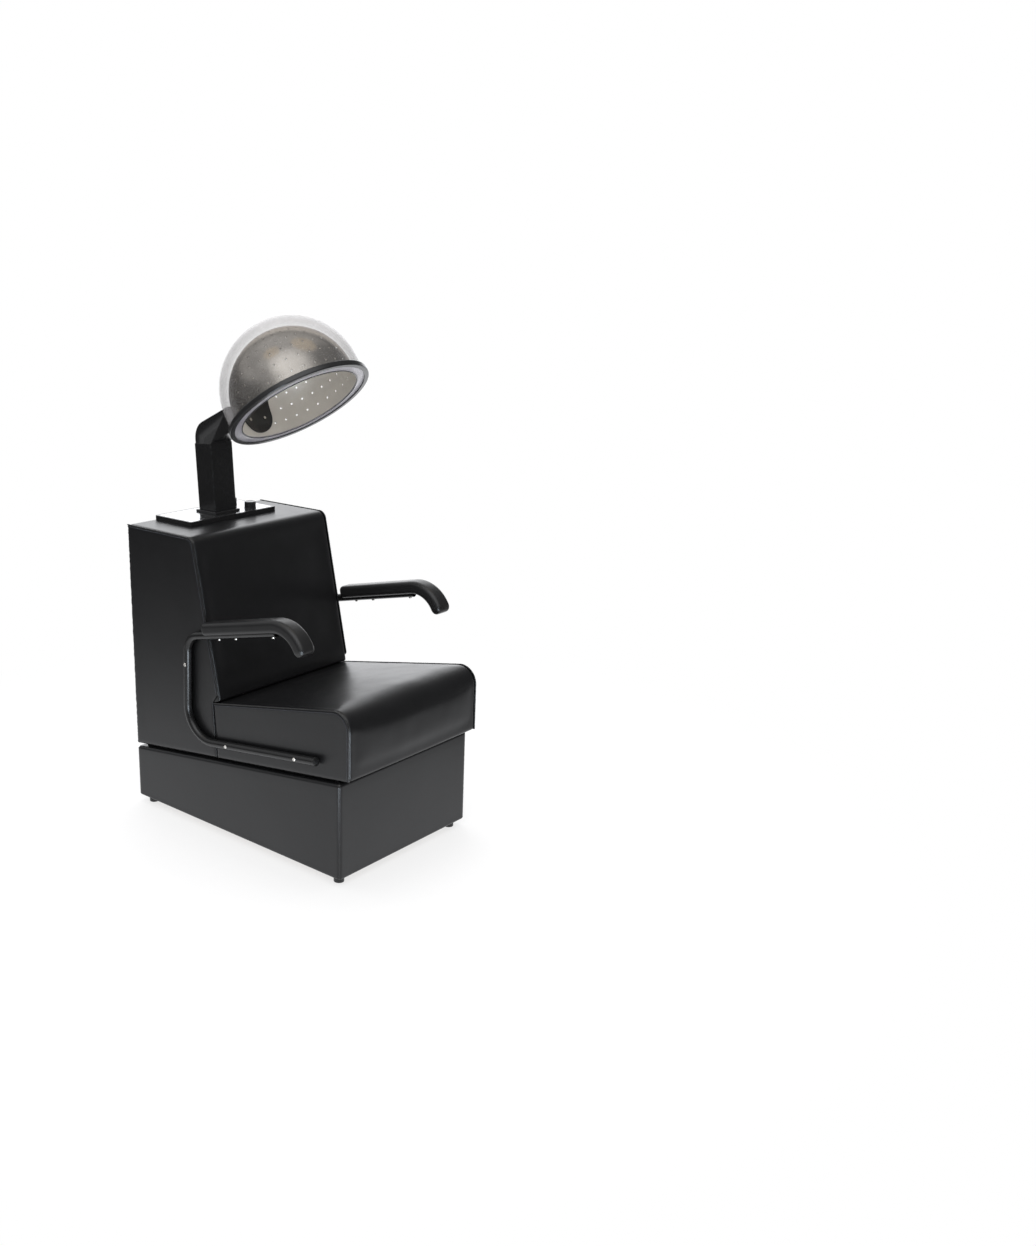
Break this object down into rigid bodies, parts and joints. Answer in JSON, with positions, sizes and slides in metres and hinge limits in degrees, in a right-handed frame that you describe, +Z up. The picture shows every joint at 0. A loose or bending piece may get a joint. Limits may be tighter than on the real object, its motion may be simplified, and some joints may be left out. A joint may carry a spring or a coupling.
{
  "type": "hood hair dryer chair",
  "caption": "Black upholstered box chair with padded arms and a dryer in its back; a column and an elbow carry a clear domed hood that tilts over the seat.",
  "frame": {"origin": "on the floor under the middle of the overall width and depth", "axes": "+Z up; the sitter faces -Y; +X is the sitter's left, where the control knobs are"},
  "size_m": [0.6376, 0.91, 1.5196],
  "materials": {
    "vinyl": "black upholstery vinyl with a fine grain and a soft sheen",
    "padded_vinyl": "black upholstery vinyl stretched over foam",
    "plywood": "raw plywood",
    "dark_board": "board painted matt black",
    "foot_rubber": "moulded black rubber",
    "nickel": "nickel plated",
    "black_plastic": "moulded black plastic, satin",
    "knob_plastic": "moulded black plastic",
    "black_metal": "satin black powder coat",
    "pad_skin": "self-skinned black foam, semi-matt with a fine grain",
    "bright_plate": "brushed bright plate",
    "zinc_sheet": "zinc plated sheet",
    "mica": "mica card",
    "clear_acrylic": "clear polished acrylic",
    "frost_acrylic": "frosted clear acrylic",
    "smoke_acrylic": "metallised smoke acrylic, bronze-silver"
  },
  "bodies": {
    "chair": {"plinth_box": "plywood", "plinth_bottom": "plywood", "plinth_cover": "vinyl", "spacer_board": "dark_board", "feet": "foot_rubber", "foot_bolts": "nickel", "side_board_left": "plywood", "side_board_right": "plywood", "floor_board": "plywood", "front_board": "plywood", "seat_board": "plywood", "back_board": "plywood", "top_board": "plywood", "shelf_board": "plywood", "rear_panel": "dark_board", "panel_screws": "nickel", "cable_gland": "black_plastic", "seat_cushion": "padded_vinyl", "back_cushion": "padded_vinyl", "seat_side_left": "vinyl", "seat_side_right": "vinyl", "back_side_left": "vinyl", "back_side_right": "vinyl", "top_cover": "vinyl", "arm_tube_left": "black_metal", "arm_tube_right": "black_metal", "arm_pad_left": "pad_skin", "arm_pad_right": "pad_skin", "arm_plugs": "pad_skin", "arm_screws": "nickel", "pad_screws": "nickel", "tray": "black_plastic", "face_plate": "bright_plate", "timer": "zinc_sheet", "heat_switch": "zinc_sheet", "column": "black_metal", "column_collar": "black_plastic", "elbow": "black_metal", "duct_sleeve": "zinc_sheet", "blower_housing": "zinc_sheet", "motor": "zinc_sheet", "motor_bracket": "zinc_sheet", "blower_stand": "zinc_sheet", "heater_housing": "zinc_sheet", "heater_cards": "mica", "heater_rods": "nickel", "intake_screen": "zinc_sheet", "hinge_pins": "nickel"},
    "hood": {"hood_neck": "black_plastic", "outer_dome": "clear_acrylic", "inner_dome": "smoke_acrylic", "rim_ring": "black_plastic", "rim_flange": "frost_acrylic", "neck_bezel": "black_plastic", "bezel_screws": "nickel"},
    "timer_knob": {"timer_knob": "knob_plastic"},
    "heat_knob": {"heat_knob": "knob_plastic"},
    "blower": {"blower_wheel": "zinc_sheet", "motor_shaft": "nickel"}
  },
  "joints": [
    {"name": "hood_tilt", "type": "hinge", "parent": "chair", "child": "hood", "pos_m": [0, 0.254, 1.20788], "axis": [1, 0, 0], "range_deg": [-10, 20]},
    {"name": "timer_turn", "type": "hinge", "parent": "chair", "child": "timer_knob", "pos_m": [0.097, 0.314, 0.92], "axis": [0, 0, -1], "range_deg": [0, 300]},
    {"name": "heat_turn", "type": "hinge", "parent": "chair", "child": "heat_knob", "pos_m": [0.097, 0.402, 0.92], "axis": [0, 0, -1], "range_deg": [0, 270]},
    {"name": "blower_spin", "type": "hinge", "parent": "chair", "child": "blower", "pos_m": [0, 0.303, 0.635], "axis": [1, 0, 0], "continuous": true}
  ]
}
